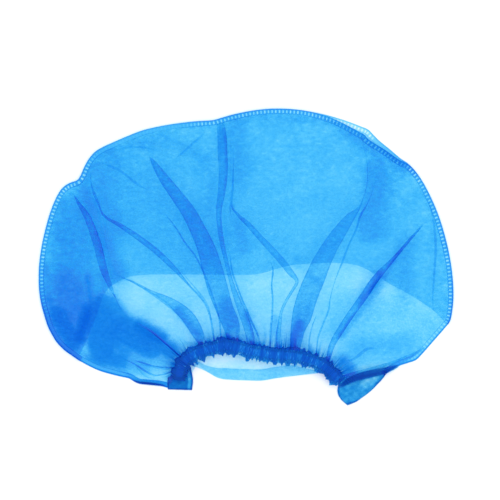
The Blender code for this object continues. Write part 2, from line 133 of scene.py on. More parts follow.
# Folds of the upper panel, clockwise from the left end: name, lift, and places from casing to rim. A place
# is x, y and the pleat's half width in millimetres. Where that is 0 or less, there is no pleat
FOLD_LINES = (
    ("left end", 0, (
        (-57.6, -97.9, 0), (-60, -101.1, 0), (-62, -103.9, 0),
    )),
    ("lower left cloth", 0.2, (
        (-59.2, -94.7, 0), (-70.4, -97.9, 0), (-81.7, -98.7, 0), (-92.1, -97.5, 0),
    )),
    ("lowest crease", 0.3, (
        (-59.2, -91.5, 0.5), (-72, -94.7, 0.6), (-80, -91.5, 0.6), (-89.7, -85.1, 0.4),
        (-102.5, -80.3, -0.8), (-118.5, -77.1, -1.6), (-136.1, -75.5, -2.4), (-144.1, -75.1, -2.4),
    )),
    ("low crease", 0.4, (
        (-59.2, -87.9, 0.6), (-72.8, -87.1, 0.6), (-84.1, -83.9, 0.5), (-97.7, -79.5, -0.8),
        (-116.9, -70.7, -1.6), (-137.7, -65.1, -2.4), (-155.3, -61.9, -2.4),
    )),
    ("low left cloth", 0.3, (
        (-58.4, -82.7, 0), (-76.8, -73.9, 0), (-102.5, -58.7, 0), (-126.5, -46.8, 0), (-147.3, -38.8, 0),
        (-163.7, -36.4, 0),
    )),
    ("left side cloth", 0.5, (
        (-57.6, -79.5, 0), (-72.8, -66.7, 0), (-94.5, -48.4, 0), (-114.5, -31.6, 0), (-132.9, -12.4, 0),
        (-148.9, 1.2, 0), (-164.1, 5.2, 0),
    )),
    ("left long fold", 0.6, (
        (-56.8, -75.5, 0.8), (-67.2, -66.3, 0.6), (-76.8, -58.3, 0.3), (-87.3, -52, -0.4),
        (-100.1, -38.8, -0.8), (-107.7, -23.6, 1.6), (-113.7, -7.6, 3), (-118.5, 10.8, 3.2),
        (-126.5, 31.6, 2.6), (-134.5, 44.4, 1.2), (-140.1, 54, -0.2), (-143.3, 57.5, -0.8),
    )),
    ("beside left fold", 0.2, (
        (-48, -72.3, 0), (-59.2, -57.1, 0), (-75.2, -41.2, 0), (-94.5, -26.8, 0), (-106.5, -10.8, 0),
        (-112.3, 13.2, 0), (-121.3, 34, 0), (-131.0, 49.2, 0), (-137.0, 60.3, 0),
    )),
    ("first left pleat", 1, (
        (-36.0, -66.9, 2.2), (-39.2, -58.8, 4.6), (-45.6, -47.6, 5.2), (-53.6, -39.8, 4.4),
        (-62.4, -33.6, 2.8), (-75.2, -27.2, 1.0), (-88.9, -20.0, 0.7), (-101.7, -13.6, -0.2),
        (-109.7, 6.8, -0.8), (-117.7, 38, -1.6), (-126.5, 56.4, -2.4), (-131.3, 67.5, -2.4),
    )),
    ("second left pleat", 0.9, (
        (-25.6, -66.7, 0.7), (-26.8, -57.1, 0.6), (-28.4, -47.6, 0.6), (-32, -38, 0.6), (-37.6, -30.4, 0.6),
        (-44.8, -22.8, 0.6), (-53.2, -13.2, 1.4), (-61.6, -4.4, 2.1), (-73.6, 6.4, 2.2), (-86.5, 16, 2.1),
        (-100.9, 25.6, 1.6), (-113.7, 33.6, 0.6), (-121.7, 50, -1.6), (-124.9, 65.1, -2.4),
        (-124.1, 80.3, -2.4),
    )),
    ("narrow left pleat", 0.6, (
        (-20, -65.1, 0.6), (-20.8, -51.6, 0.6), (-23.6, -39.6, 0.6), (-28.8, -24.4, 0.6),
        (-33.6, -12.4, 0.6), (-40, 0.4, 0.5), (-48, 10.8, 0.5), (-54.4, 21.2, 0.5), (-61.6, 30.8, 0.2),
        (-76.8, 47.6, -1.2), (-96.9, 67.5, -2), (-110.5, 89.9, -2.4),
    )),
    ("wide left pleat", 0.9, (
        (-10.0, -65.1, 5.4), (-12.0, -52.4, 7.6), (-17.2, -39.6, 7.6), (-21.6, -26.8, 8.2),
        (-26.2, -10.8, 8.2), (-31.2, 6, 7.2), (-38.4, 22, 6.2), (-45.6, 35.6, 5.6), (-55.2, 49.2, 4.8),
        (-64, 61.1, 4), (-73.6, 75.5, 2.1), (-79.2, 85.1, -0.8), (-84.9, 100.3, -2.4),
    )),
    ("upright pleat", 0.8, (
        (4.6, -68.3, 3.6), (2.6, -57.6, 3.8), (-2.4, -44.2, 3.4), (-7.2, -32.2, 2.6), (-11.6, -19.2, 1.8),
        (-15.4, -4.4, 1.6), (-20, 17.2, 1.8), (-21.6, 35.6, 2.1), (-19.6, 51.6, 2.9), (-18.4, 69.1, 3.5),
        (-19.2, 85.1, 3.7), (-20, 99.5, 3.4), (-21.6, 110.7, 2.8),
    )),
    ("left stem edge", 0.5, (
        (12.4, -69.1, 0.8), (9.4, -59.3, 0.8), (4.6, -50.0, 0.8), (0.6, -40.8, 0.8), (-3.2, -32.4, 0.7),
        (-7, -22.8, 0.7), (-10.6, -12.4, 0.6), (-12.4, -1.2, 0.3), (-13.6, 17.2, -0.8), (-13.6, 41.2, -1.2),
        (-13.6, 73.1, -1.2), (-14.4, 112.3, -1.2),
    )),
    ("upright crease", 0.3, (
        (19.2, -71.5, 0.7), (19.6, -59.5, 0.7), (20.8, -45.2, 0.7), (21.2, -33.2, 0.6), (20.4, -22, 0.6),
        (21.2, -9.2, 0.5), (16, 1.6, -0.5), (5.6, 12.8, -0.6), (-4.8, 24.4, -0.6), (-12, 35.6, -0.8),
        (-11.2, 57.1, -1.2), (-12, 113.1, -1.2),
    )),
    ("stem and slanting pleat", 0.9, (
        (25.6, -72.3, 1.4), (25.6, -62.7, 1.8), (26.8, -52.4, 1.4), (28, -43.6, 1), (31.6, -35.2, 1),
        (36.8, -26.5, 1), (40.4, -19.4, 1.3), (35.2, -12.2, 2.4), (28, -3.0, 2.6), (19.6, 6.2, 2.5),
        (11.2, 15.2, 2.2), (1.6, 26, 1.9), (-6.4, 33.6, 1.1), (-12, 42.8, 0.3), (-9.6, 61.1, -1.6),
        (-6.4, 114.7, -2.4),
    )),
    ("smooth cloth, left", 0, (
        (29.6, -73.1, 0), (30.8, -58.7, 0), (33.6, -42.8, 0), (39.2, -31.6, 0), (44, -22, 0),
        (41.6, -4.4, 0), (32, 25.2, 0), (24, 61.1, 0), (17.6, 117.9, 0),
    )),
    ("smooth cloth, right", 0.1, (
        (31.6, -73.9, 0), (32.8, -58.7, 0), (35.2, -43.6, 0), (40.8, -31.6, 0), (46.4, -20.4, 0),
        (53.6, -4.4, 0), (63.2, 19.6, 0), (68, 53.2, 0), (71.2, 111.5, 0),
    )),
    ("wide right pleat", 1, (
        (38.4, -74.7, 4), (40.8, -58.7, 5.6), (44, -47.6, 7.7), (46.8, -37.2, 8), (50.4, -26.8, 8),
        (54.8, -16.4, 7.8), (59.6, -5.2, 7.2), (66.4, 7.6, 6.1), (73.6, 18.8, 5.3), (82.5, 31.2, 3.5),
        (91.3, 41.6, 0.5), (96.9, 57.9, -1.2), (98.5, 77.1, -2), (96.9, 101.9, -2.4),
    )),
    ("short right crease", 0.5, (
        (50, -76.3, 0.7), (50.4, -66.7, 0.6), (52, -57.9, 0.5), (55.2, -48.4, 0.2), (64, -30, -1.2),
        (72, -7.6, -1.6), (80, 13.2, -1.6), (91.3, 34, -1.6), (100.1, 53.2, -2), (104.1, 73.1, -2),
        (107.3, 91.5, -2.4),
    )),
    ("narrow right pleat", 0.8, (
        (56, -77.9, 0.6), (57.6, -63.5, 0.6), (61.6, -52.4, 0.6), (65.6, -42, 0.6), (66.8, -33.2, 0.4),
        (70.4, -19.6, 0.2), (76, -5.2, 0.6), (81.3, 8.4, 0.6), (88.1, 22.8, 0.6), (92.5, 35.6, 0.5),
        (100.9, 48.4, -1.2), (108.9, 67.5, -2), (114.5, 85.9, -2.4),
    )),
    ("right middle cloth", 0.2, (
        (60.8, -79.5, 0), (68, -61.9, 0), (78.4, -41.2, 0), (89.7, -18.8, 0), (102.5, 8.4, 0),
        (116.9, 41.2, 0), (128.1, 75.1, 0),
    )),
    ("long right pleat", 1, (
        (66.4, -81.1, 2.2), (69.2, -69.1, 2.5), (74.8, -58.7, 2.8), (81.3, -48.4, 2.9), (87.7, -39.2, 2.9),
        (94.1, -30.4, 3.0), (100.5, -20.8, 2.9), (107.3, -12.4, 2.5), (114.9, -4.4, 1.6), (123.3, 4.8, 1.1),
        (132.1, 14.8, 0.8), (140.9, 24.4, 0.3), (147.3, 35.6, -1.2), (150.5, 42, -1.6),
    )),
    ("right side cloth", 0.2, (
        (71.2, -85.1, 0), (84.9, -69.1, 0), (104.9, -47.6, 0), (126.5, -24.4, 0), (145.7, -4.4, 0),
        (162.5, 2, 0),
    )),
    ("low right crease", 0.3, (
        (74.4, -89.1, 0.2), (88.9, -77.9, -0.4), (97.7, -71.5, -0.6), (115.3, -61.9, -0.8),
        (139.3, -47.6, -1.6), (165.7, -34, -1.6),
    )),
    ("low right cloth", 0.1, (
        (76, -92.3, 0), (91.3, -86.7, 0), (111.3, -78.7, 0), (134.5, -67.5, 0), (159.3, -57.1, 0),
    )),
    ("corner fold", 0.2, (
        (77.6, -95.5, 1.2), (89.7, -92.7, 1.6), (102.5, -89.1, 1.3), (116.9, -84.7, 0.8),
        (129.7, -80.3, 0.2), (140.9, -77.1, -0.4),
    )),
    ("right end", 0, (
        (77.6, -99.5, 0), (89.7, -97.9, 0), (102.5, -94.7, 0), (113.7, -92.3, 0),
    )),
)
# Where the lower panel's front edge meets each end of the casing, in millimetres
LEFT_TAB_BACK = (-45.0, -97.0)
RIGHT_TAB_BACK = (76.0, -100.0)
# The two long edges of each flat end of the casing, in millimetres
LEFT_TAB_OUTER = ((-62.4, -96.5), (-62.8, -101.0), (-62.4, -106.3))
LEFT_TAB_INNER = ((-44.0, -89.1), (-42.4, -98.7), (-43.2, -106.9))
RIGHT_TAB_OUTER = ((74.5, -98.0), (73.2, -108.3), (76.0, -114.3), (81.3, -119.0))
RIGHT_TAB_INNER = ((113.5, -91.0), (110.5, -96.3), (104.5, -103.0), (98.5, -108.7), (88.1, -116.3))
# Where the columns between two folds lie: across plain cloth, and across a pleat
CLOTH_WAYS = (0.0, 0.05, 0.14, 0.28, 0.42, 0.58, 0.72, 0.86, 0.95)
PLEAT_WAYS = (0.0, 0.12, 0.5, 0.88)
# How the upper panel thickens at the casing: the reach in metres and the plies, each least and spread
GATHER_REACH, GATHER_PLIES = (0.0075, 0.006), (1.2, 2.0)
FRAY_REACH, FRAY_PLIES = (0.0042, 0.0028), (4.0, 4.5)
PLEAT_EDGE_PLIES = 1.9
# The weld: how far its edge wanders, where its bars begin and end across it, and how softly, in metres
EDGE_WANDER = 0.00018
BAR_SPAN = (0.0007, 0.0039)
BAR_SOFTNESS = 0.0006
# Extra plies where the seams draw apart: the upper one lies over more cloth there, the lower one over less
UPPER_APART_PLIES, LOWER_APART_PLIES = 3.4, -1.6
# The casing's plies: all along, more at its left and right ends, and how much its ruffles and grain vary
CASING_PLIES, LEFT_END_PLIES, RIGHT_END_PLIES = 13.0, 11.0, 5.0
RUFFLE_PLIES, GRAIN_PLIES = 5.5, 2.4
# How many plies the casing's front edge lacks, how many its light flecks have, and the share without flecks
FRONT_EDGE_PLIES = 7.5
FLECK_PLIES, FLECK_LIMIT = 1.5, 0.965
# Radians of the bond points' wave in a metre, and of the elastic's cords across the tape
BOND_POINT_RATE = 5200.0
CORD_RATE = 50.3

# Bunched cloth as soft patches, a few of them partly painted light and shade: from x, y to x, y, reach,
# softness, extra plies (millimetres)
LOWER_BUNCHING_AND_PAINTED_LIGHT = (
    # The first patch gives fewer plies where the panel runs thin in the mouth, and painted light that lifts
    # the casing's cast shadow from it.
    (-24, -84, -6, -85, 7, 4, -0.8),
    (80, -50, 140, -62, 22, 12, 1.0),
    (90, -72, 130, -70, 12, 14, 2.2),
    (-60, -30, 20, -40, 12, 10, 0.2),
)
GUSSET_BUNCHED = (
    (46, 3, 88, 2, 5, 9, -1.4),
    (-142, 20, -140, -50, 10, 10, 0.8),
)
# In the dark lower left these patches give more plies than the bunched cloth has. The extra is painted shade
# where the bunched cloth shades itself.
UPPER_BUNCHING_AND_PAINTED_SHADE = (
    (-100, 55, -30, 12, 30, 22, 0.8),
    (-112, 88, -108, 50, 12, 8, 1.6),
    (-69, 95, -45, 84, 6, 6, 1.2),
    (-78, 62, -76, 50, 3, 4, 1.4),
    (-88, 92, -70, 88, 6, 6, 1.2),
    (-141, 32, -139, -28, 17, 7, 1.9),
    (-118, 70, -104, 20, 8, 6, 2.2),
    (-134, 62, -122, 70, 8, 6, 2.2),
    (-129, 52, -119, 34, 6, 5, 3.0),
    (-119, 34, -112, 4, 5, 5, 2.6),
    (-112, 20, -102, -14, 6, 6, 3.2),
    (-113, -14, -114, -32, 4, 9, 3.0),
    (-126, -16, -124, -34, 3, 6, 6.2),
    (-142, -22, -140, -42, 15, 8, 3.8),
    (-150, -46, -138, -68, 9, 6, 6.0),
    (-125, -42, -133, -66, 6, 7, 8.8),
    (-156, -34, -147, -62, 4, 4, 5.0),
    (-112, -48, -116, -76, 12, 3, 6.6),
    (-112, -41, -99, -60, 12.5, 3.5, 6.0),
    (-99, -58, -76, -69, 12.5, 3.5, 7.0),
    (-80, -63, -60, -75, 7, 4, 7.0),
    (-76, -78, -60, -82, 7, 6, 2.6),
    (-86, -56, -68, -66, 6, 4, 9.0),
    (-122, -78, -100, -83, 8, 5, 6.2),
    (-105, -68, -96, -77, 6, 5, 5.4),
    (-160, -6, -157, -40, 4, 5, 3.0),
    (-104, -82, -82, -86, 6, 6, 3.2),
    (77, -83, 83, -90, 4, 5, 6.0),
    (-118, -88, -96, -93, 4, 5, 2.6),
    (-31, 80, -29, 32, 3, 5, 1.6),
    (-7, 112, -5, 60, 8, 8, 1.6),
    (-11, 38, -11, 26, 3, 3, 1.5),
    (-6, 28, -2, 6, 5, 4, 2.0),
    (1, -46, 8, -62, 3, 2, 1.8),
    (-17, -36, -12, -52, 6, 3, 1.5),
    (-54, -42, -38, -62, 3, 2, 1.7),
    (40, -6, 56, -20, 4, 4, 1.2),
    (23.4, -48, 22.4, -68, 2.4, 1.2, 2.0),
    (50, -20, 42, -66, 5, 2.5, 0.6),
    (43, -54, 36, -68, 4, 3, 3.0),
    (104, 70, 98, 20, 9, 2.5, 2.2),
    (112, 60, 108, 20, 7, 6, 1.4),
    (8, 111, 66, 109, 3, 4, 1.2),
    (82, 103, 108, 84, 8, 6, 2.0),
    (108, 84, 124, 68, 4, 5, 1.6),
    (78, 104, 98, 91, 3, 4, 2.4),
    (-22, -21, 44, -21, 15, 11, -0.7),
    (97, 92, 130, 72, 5, 4, 2.0),
    (101, 92, 129, 75, 2.5, 4, 4.4),
    (128, 10, 126, -30, 7, 6, 1.5),
    (123, 6, 104, -26, 1.8, 2, 4.0),
    (106, -16, 94, -36, 5, 4, 2.6),
    (106, -18, 99, -28, 2.6, 2, 5.4),
    (104, -26, 85, -50, 2.0, 2, 3.2),
    (84, -50, 75, -64, 2.0, 2, 2.6),
    (-128, -72, -126, -77, 2.0, 3.5, -4.0),
    (-109, -28.5, -107, -29, 1.5, 3, -2.5),
)
# Short creases: name, plies, width and places in millimetres
CREASES = (
    ("crease_left_upper", 2.6, 2.2, (
        (-115.3, 74.7), (-100.9, 68.7), (-86, 57.2), (-77.6, 52.8),
    )),
    ("crease_left_arc", 1.6, 2.0, (
        (-106, 84.4), (-92, 87.2), (-80.3, 86.7), (-71.6, 84.6),
    )),
    ("crease_upright_left", 2.4, 2.0, (
        (-57, 77.4), (-48.4, 84.6), (-32.5, 99.1),
    )),
    ("crease_low_left", 1.8, 1.4, (
        (-88.9, -85.9), (-80, -95.5), (-72.8, -97.1),
    )),
    ("crease_low_left_second", 2.0, 1.4, (
        (-84.9, -85.1), (-74.4, -87.9), (-63.2, -89.1),
    )),
    ("crease_dark_corner", 4.0, 1.8, (
        (-86.5, -52.4), (-74.4, -59.6), (-65.6, -66.8), (-56.8, -74),
    )),
    ("crease_first_pleat", 3.0, 1.3, (
        (-104.9, -14), (-92.1, -19.0), (-74, -30.0), (-56.5, -43.6), (-48.5, -53.5), (-40.5, -64.5),
    )),
    ("crease_second_pleat", 2.4, 1.2, (
        (-52.8, -10.4), (-36.8, -29), (-29.6, -40.6), (-26.8, -58),
    )),
    ("crease_right_wavy", 3.2, 2.6, (
        (79, -83), (85, -82), (91, -77.5), (96.5, -73.5), (105.5, -73),
    )),
    ("crease_right_long", 4.0, 3.0, (
        (110, -90), (121.7, -84.6), (131.3, -80.1), (143.3, -72.4),
    )),
    ("rolled_right_edge", 9.0, 7.0, (
        (74, -105), (84.6, -97.8), (95.3, -94.3), (109.3, -91.2), (122.6, -87.4),
    )),
    ("rolled_left_edge", 8.0, 2.2, (
        (-91, -98.6), (-85.5, -100.6), (-74.4, -101.9), (-63.5, -103.4),
    )),
    ("fold_right_side", 3.0, 2.0, (
        (143.5, 50), (147.3, 39.6), (150.5, 21.2), (151.3, 4.4), (149.7, -18.8), (148.9, -32.4),
        (149.3, -44.1),
    )),
    ("crease_right_end", 3.0, 1.6, (
        (118, 0), (130, 12.8), (139, 22.8), (143.5, 28),
    )),
)

# How far the upper seam draws back from the lower one: share of the edge, millimetres
SLIP = (
    (0.0, 0.0), (0.595, 0.0), (0.6245, 1.3), (0.6385, 2.6), (0.6566, 4.6), (0.6728, 5.6), (0.6913, 3.2),
    (0.7119, 1.9), (0.7266, 0.3), (0.735, 0.0), (1.0, 0.0),
)
# How clearly the weld bars of each seam show: share of the edge, share of full strength
LOWER_BARS = (
    (0.0, 0.0), (0.15, 0.0), (0.18, 0.6), (0.21, 1.0), (0.34, 1.0), (0.37, 0.15), (0.46, 0.15), (0.48, 0.9),
    (0.66, 1.0), (0.676, 0.9), (0.68, 0.0), (0.72, 0.0), (0.727, 1.0), (0.9, 1.0), (0.92, 0.45),
    (0.97, 0.4), (0.985, 0.0), (1.0, 0.0),
)
UPPER_BARS = (
    (0.0, 0.0), (0.15, 0.0), (0.18, 0.6), (0.21, 1.0), (0.34, 1.0), (0.37, 0.15), (0.46, 0.15), (0.48, 0.9),
    (0.9, 1.0), (0.92, 0.45), (1.0, 0.3),
)
# How many plies the weld stands for, and how many more its dark cut edge: share of the edge, plies
WELD_PLIES = (
    (0.0, 6.0), (0.035, 6.0), (0.05, 4.0), (0.075, 4.4), (0.13, 4.2), (0.18, 4.0), (0.22, 3.0), (0.34, 3.0),
    (0.38, 2.2), (0.46, 2.2), (0.49, 3.0), (0.66, 3.2), (0.69, 4.6), (0.73, 4.6), (0.75, 3.0), (0.93, 3.4),
    (0.96, 3.2), (0.985, 3.4), (1.0, 6.0),
)
CUT_EDGE = ((0.0, 4.5), (0.14, 3.8), (0.2, 1.8), (0.85, 1.8), (0.9, 3.4), (1.0, 4.2))


def eased(share):
    """Returns a share from 0 to 1 with a level start and end."""
    share = np.clip(share, 0.0, 1.0)
    return share * share * (3 - 2 * share)


def read(table, share):
    """Returns the value of a two-column table at a share."""
    shares, values = zip(*table)
    return np.interp(share, shares, values)


class PlanLine:
    """A smooth plan line through given places in millimetres, read by share of its length in metres."""

    def __init__(self, knots):
        knots = np.array(knots, float) / 1000
        guides = np.vstack((2 * knots[0] - knots[1], knots, 2 * knots[-1] - knots[-2]))
        step = np.arange(CURVE_STEPS)[:, None] / CURVE_STEPS
        pieces = []
        for before, start, end, after in zip(guides, guides[1:], guides[2:], guides[3:]):
            bend = 2 * before - 5 * start + 4 * end - after
            twist = 3 * start - before - 3 * end + after
            pieces.append(start + ((end - before) * step + bend * step**2 + twist * step**3) / 2)
        self.points = np.vstack([*pieces, knots[-1:]])
        walked = np.linalg.norm(np.diff(self.points[:, :2], axis=0), axis=1)
        self.walked = np.concatenate(([0.0], np.cumsum(walked)))
        self.length = self.walked[-1]
        along = np.gradient(self.points[:, :2], self.walked, axis=0)
        along /= np.linalg.norm(along, axis=1)[:, None]
        self.right = np.column_stack((along[:, 1], -along[:, 0]))

    def at(self, shares, aside=0.0):
        """Returns places, and widths if the line has them, at shares of the length, moved to its right."""
        where = np.clip(np.atleast_1d(shares), 0.0, 1.0) * self.length
        places = np.column_stack([np.interp(where, self.walked, axis) for axis in self.points.T])
        places[:, :2] += np.reshape(aside, (-1, 1)) * self.right_at(shares)
        return places

    def right_at(self, shares):
        where = np.clip(np.atleast_1d(shares), 0.0, 1.0) * self.length
        right = np.column_stack([np.interp(where, self.walked, axis) for axis in self.right.T])
        return right / np.linalg.norm(right, axis=1)[:, None]

    def share_near(self, place):
        """Returns the share of the length at which the line passes nearest to a place in millimetres."""
        away = np.linalg.norm(self.points[:, :2] - np.array(place[:2]) / 1000, axis=1)
        return self.walked[int(np.argmin(away))] / self.length


Fold = namedtuple("Fold", "plan stack lift foot tip half")
Column = namedtuple("Column", "plan stack lift foot tip crease")

RIM = PlanLine(RIM_LINE)
CASING = PlanLine(CASING_LINE)
GUSSET = PlanLine(GUSSET_LINE)
FRONT = PlanLine(FRONT_LINE)


def slip(share):
    """Returns how far the upper seam lies inside the lower one."""
    return read(SLIP, share) / 1000


def casing_level(share):
    """Returns the height of the casing's middle: on the tabs at its ends, and clear of the mouth between."""
    lowest = TAB_THICKNESS + GAP + CASING_HEIGHT / 2
    highest = WALL + MOUTH_RISE + CASING_HEIGHT / 2
    arch = np.sin(np.pi * np.clip(share, 0.0, 1.0)) ** CASING_ARCH
    return lowest + (highest - lowest) * arch


def panel_edge_level(share):
    """Returns the height of the upper panel's edge: over the gusset on the arc, on the lower panel beside."""
    left = eased((share - LEFT_POINT + EDGE_CLIMB) / EDGE_CLIMB)
    right = eased((RIGHT_POINT + EDGE_CLIMB - share) / EDGE_CLIMB)
    return LOWER_LEAF_LEVEL + (PANEL_EDGE_LEVEL - LOWER_LEAF_LEVEL) * np.minimum(left, right)


def ripple(x, y, pitch, seed):
    """Returns an even, repeatable waviness from -1 to 1 at plan places."""
    turn = np.random.default_rng(seed).uniform(0, 2 * np.pi, 6)
    waves = np.zeros_like(x)
    for i in range(6):
        way = turn[i] + i * 1.1
        stretch = pitch * (0.7 + 0.13 * i)
        along = x * math.cos(way) + y * math.sin(way)
        waves = waves + np.sin(2 * np.pi * along / stretch + 3 * turn[-i])
    return waves / 6


def bunching(x, y, patches):
    """Returns the extra plies of bunched cloth at plan places; a few patches partly stand for painted light
    and shade. Patches join, and thin ones come off.
    """
    extra = np.zeros_like(x)
    for x0, y0, x1, y1, reach, soft, plies in patches:
        start = np.array((x0, y0)) / 1000
        span = np.array((x1, y1)) / 1000 - start
        from_x, from_y = x - start[0], y - start[1]
        run = np.clip((from_x * span[0] + from_y * span[1]) / (span @ span), 0, 1)
        away = np.hypot(from_x - run * span[0], from_y - run * span[1]) * 1000
        near = plies * eased((reach + soft - away) / (2 * soft))
        extra = np.maximum(extra, near) if plies > 0 else extra + near
    return extra


def clear_choice():
    bpy.ops.object.select_all(action="DESELECT")


def choose(piece):
    clear_choice()
    piece.select_set(True)
    bpy.context.view_layer.objects.active = piece


def grid_faces(columns, rows, ring=False):
    """Returns the quads of a grid of columns and rows. A ring joins its rows' ends."""
    faces = []
    for first in range(0, (columns - 1) * rows, rows):
        for k in range(rows if ring else rows - 1):
            after = (k + 1) % rows
            faces.append((first + k, first + rows + k, first + rows + after, first + after))
    return faces


def sew(name, places, plies, finish, thickness=None, ring=False):
    """Makes a cloth piece from a grid of places, [column, row, xyz], and the plies that each stands for."""
    thickness = bpy.context.scene.cap_cloth.thickness if thickness is None else thickness
    columns, rows = places.shape[:2]
    mesh = bpy.data.meshes.new(name)
    mesh.from_pydata(places.reshape(-1, 3).tolist(), [], grid_faces(columns, rows, ring))
    kept = mesh.attributes.new("plies", "FLOAT", "POINT")
    kept.data.foreach_set("value", np.broadcast_to(plies, (columns, rows)).astype(np.float32).ravel())
    along, across = np.meshgrid(np.linspace(0, 1, columns), np.linspace(0, 1, rows), indexing="ij")
    flat = mesh.uv_layers.new(name="Cloth")
    corners = np.empty(len(mesh.loops), np.int32)
    mesh.loops.foreach_get("vertex_index", corners)
    flat.data.foreach_set("uv", np.column_stack((along.ravel()[corners], across.ravel()[corners])).ravel())
    mesh.shade_smooth()
    piece = bpy.data.objects.new(name, mesh)
    bpy.context.scene.collection.objects.link(piece)
    mesh.materials.append(finish)
    choose(piece)
    if ring:
        close_ends()
    else:
        shell = piece.modifiers.new("Cloth thickness", "SOLIDIFY")
        shell.thickness = thickness
        shell.offset = 0.0
        shell.use_even_offset = False
        bpy.ops.object.modifier_apply(modifier=shell.name)
    if sum(face.area for face in piece.data.polygons) <= 0:
        raise RuntimeError(f"{name} came out with no area")
    return piece


def close_ends():
    """Closes the two open ends of the chosen tube and turns its faces outwards."""
    bpy.ops.object.mode_set(mode="EDIT")
    bpy.ops.mesh.select_all(action="DESELECT")
    bpy.ops.mesh.select_mode(type="EDGE")
    bpy.ops.mesh.select_non_manifold(extend=False)
    bpy.ops.mesh.edge_face_add()
    bpy.ops.mesh.select_all(action="SELECT")
    bpy.ops.mesh.normals_make_consistent(inside=False)
    bpy.ops.object.mode_set(mode="OBJECT")


def fit(piece, slot, *nodes):
    """Lets a piece ride on the cap and stand for the solids it covers."""
    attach(piece, "root")
    if nodes:
        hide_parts(*nodes)


# Finishes

def wire(tree, kind, settings=None, **inputs):
    """Adds a node with settings and inputs, each a value or a socket to link from. Input n2 is number 2."""
    node = tree.nodes.new(kind)
    for name, value in (settings or {}).items():
        setattr(node, name, value)
    for name, value in inputs.items():
        by_number = name[0] == "n" and name[1:].isdigit()
        socket = node.inputs[int(name[1:]) if by_number else name.replace("_", " ")]
        if isinstance(value, bpy.types.NodeSocket):
            tree.links.new(value, socket)
        else:
            socket.default_value = value
    return node


def math_step(tree, operation, first, second=0.0):
    return wire(tree, "ShaderNodeMath", {"operation": operation}, n0=first, n1=second).outputs[0]


def spunbond_group():
    """Builds the shared look of spunbond cloth: cloudy fibre density, fine fibres and rows of bond points."""
    made = bpy.data.node_groups.get("Spunbond cloth")
    if made:
        return made
    tree = bpy.data.node_groups.new("Spunbond cloth", "ShaderNodeTree")
    for name, default in (("Plies", 1.0), ("Cloudiness", 0.5), ("Fibre", 0.3), ("Bond points", 0.1)):
        socket = tree.interface.new_socket(name, in_out="INPUT", socket_type="NodeSocketFloat")
        socket.default_value = default
    for name in ("Density", "Relief", "Fleck"):
        tree.interface.new_socket(name, in_out="OUTPUT", socket_type="NodeSocketFloat")
    inside = tree.nodes.new("NodeGroupInput")
    outside = tree.nodes.new("NodeGroupOutput")
    place = tree.nodes.new("ShaderNodeTexCoord").outputs["Object"]
    lanes = wire(tree, "ShaderNodeMapping", Vector=place, Scale=(1.0, 1.7, 1.0)).outputs[0]
    clouds = wire(tree, "ShaderNodeTexNoise", Vector=lanes, Scale=210.0, Detail=3.0, Roughness=0.72)
    clouds = clouds.outputs["Fac"]
    fibres = wire(tree, "ShaderNodeTexNoise", Vector=place, Scale=800.0, Detail=1.0, Roughness=0.6)
    fibres = fibres.outputs["Fac"]
    axes = wire(tree, "ShaderNodeSeparateXYZ", n0=place)
    waves = [
        math_step(tree, "SINE", math_step(tree, "MULTIPLY", axes.outputs[name], BOND_POINT_RATE))
        for name in ("X", "Y")
    ]
    points = math_step(tree, "MAXIMUM", math_step(tree, "MULTIPLY", waves[0], waves[1]), 0.0)
    cloud_part, fibre_part = (
        math_step(tree, "MULTIPLY", math_step(tree, "SUBTRACT", noise, 0.5), inside.outputs[name])
        for noise, name in ((clouds, "Cloudiness"), (fibres, "Fibre"))
    )
    point_part = math_step(tree, "MULTIPLY", points, inside.outputs["Bond points"])
    uneven = math_step(tree, "SUBTRACT", math_step(tree, "ADD", cloud_part, fibre_part), point_part)
    # The unevenness grows with the plies, up to 2.2 of them
    uneven = math_step(tree, "MULTIPLY", uneven, math_step(tree, "MINIMUM", inside.outputs["Plies"], 2.2))
    density = math_step(tree, "MAXIMUM", math_step(tree, "ADD", inside.outputs["Plies"], uneven), 0.02)
    tree.links.new(density, outside.inputs["Density"])
    tree.links.new(math_step(tree, "SUBTRACT", fibres, points), outside.inputs["Relief"])
    tree.links.new(clouds, outside.inputs["Fleck"])
    return tree


def tinted_light(tree, density):
    """Lets light through, tinted once for each ply."""
    passes = bpy.context.scene.cap_colours.one_ply_passes
    tints = [math_step(tree, "POWER", share, density) for share in passes]
    tint = wire(tree, "ShaderNodeCombineColor", n0=tints[0], n1=tints[1], n2=tints[2]).outputs[0]
    return wire(tree, "ShaderNodeBsdfTransparent", Color=tint).outputs[0]


def cloth_body(tree, cloth, thin, middle, thick, roughness):
    """Gives the cloth's own surface. Thin, middle and thick are its colours at 0.6, 4.4 and 9 plies."""
    density = cloth.outputs["Density"]
    depth = wire(tree, "ShaderNodeMapRange", Value=density, From_Min=0.6, From_Max=9.0).outputs[0]
    ramp = wire(tree, "ShaderNodeValToRGB", Fac=depth)
    # Between middle and thick, red fades first
    between = [(near + far) / 2 * kept for near, far, kept in zip(middle, thick, (0.4, 1.0, 1.0))]
    ramp.color_ramp.elements[0].color = (*thin, 1.0)
    ramp.color_ramp.elements[1].color = (*thick, 1.0)
    ramp.color_ramp.elements.new(0.45).color = (*middle, 1.0)
    ramp.color_ramp.elements.new(0.62).color = (*between, 1.0)
    rough = wire(
        tree, "ShaderNodeMapRange", Value=cloth.outputs["Fleck"], From_Min=0.3, From_Max=0.7,
        To_Min=roughness - 0.08, To_Max=roughness + 0.08,
    ).outputs[0]
    relief = wire(tree, "ShaderNodeBump", Height=cloth.outputs["Relief"], Strength=0.35, Distance=0.0002)
    body = wire(
        tree, "ShaderNodeBsdfPrincipled", Base_Color=ramp.outputs["Color"], Roughness=rough,
        Normal=relief.outputs[0],
    )
    body.inputs["Specular IOR Level"].default_value = 0.08
    return body.outputs[0]


